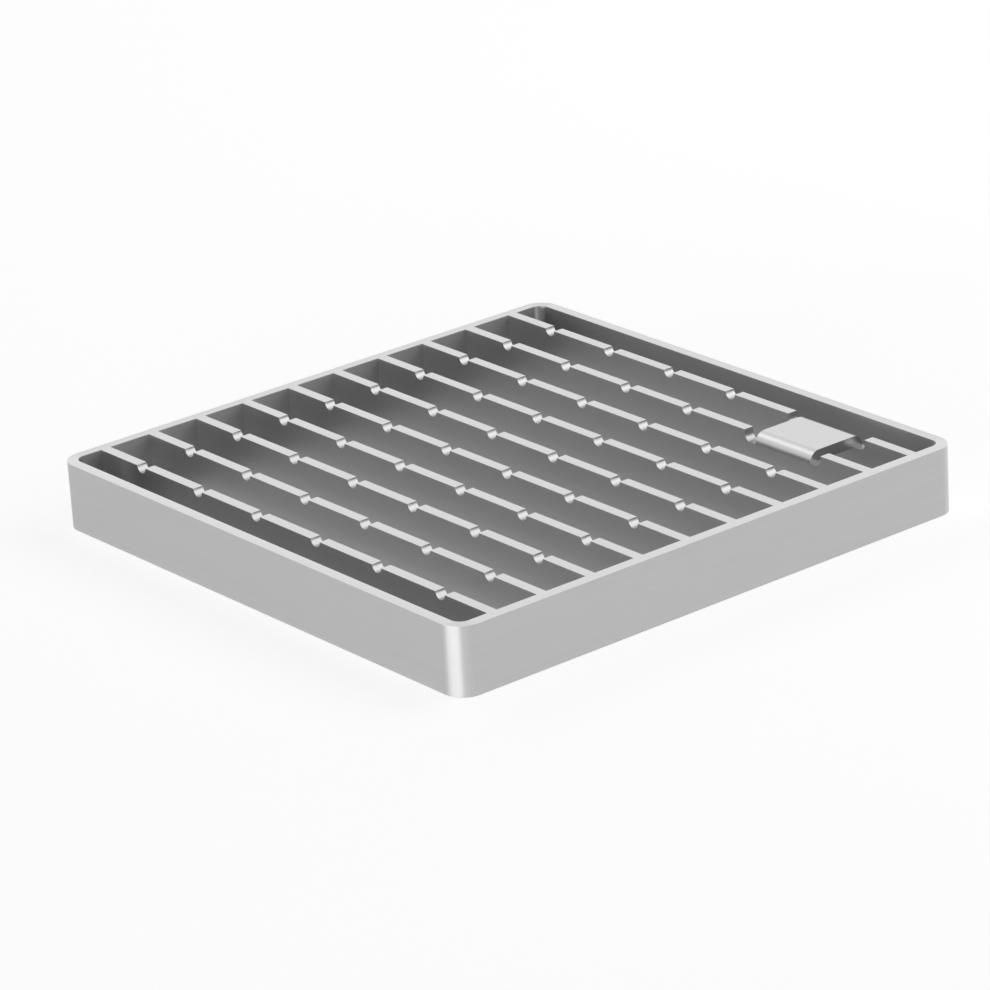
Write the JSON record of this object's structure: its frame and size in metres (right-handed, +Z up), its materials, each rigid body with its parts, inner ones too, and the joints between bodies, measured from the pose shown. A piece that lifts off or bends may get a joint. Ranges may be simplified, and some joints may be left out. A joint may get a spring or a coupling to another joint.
{
  "type": "ladder drain grate",
  "caption": "Square stainless ladder grate for a floor drain: flat bars on edge with non-slip notches, welded inside a rounded rim, with a blank badge clip near one corner.",
  "frame": {"origin": "middle of the grate, on the plane of its underside", "axes": "+X along the bars, +Y across them towards the badge clip's side, +Z up through the walking face"},
  "size_m": [0.223, 0.223, 0.025],
  "materials": {
    "rim_steel": "satin",
    "bar_steel": "satin",
    "badge_steel": "satin"
  },
  "bodies": {
    "root": {"rim_band": "rim_steel", "ladder_bar_01": "bar_steel", "ladder_bar_02": "bar_steel", "ladder_bar_03": "bar_steel", "ladder_bar_04": "bar_steel", "ladder_bar_05": "bar_steel", "ladder_bar_06": "bar_steel", "ladder_bar_07": "bar_steel", "ladder_bar_08": "bar_steel", "ladder_bar_09": "bar_steel", "ladder_bar_10": "bar_steel", "badge_clip": "badge_steel"}
  },
  "joints": []
}
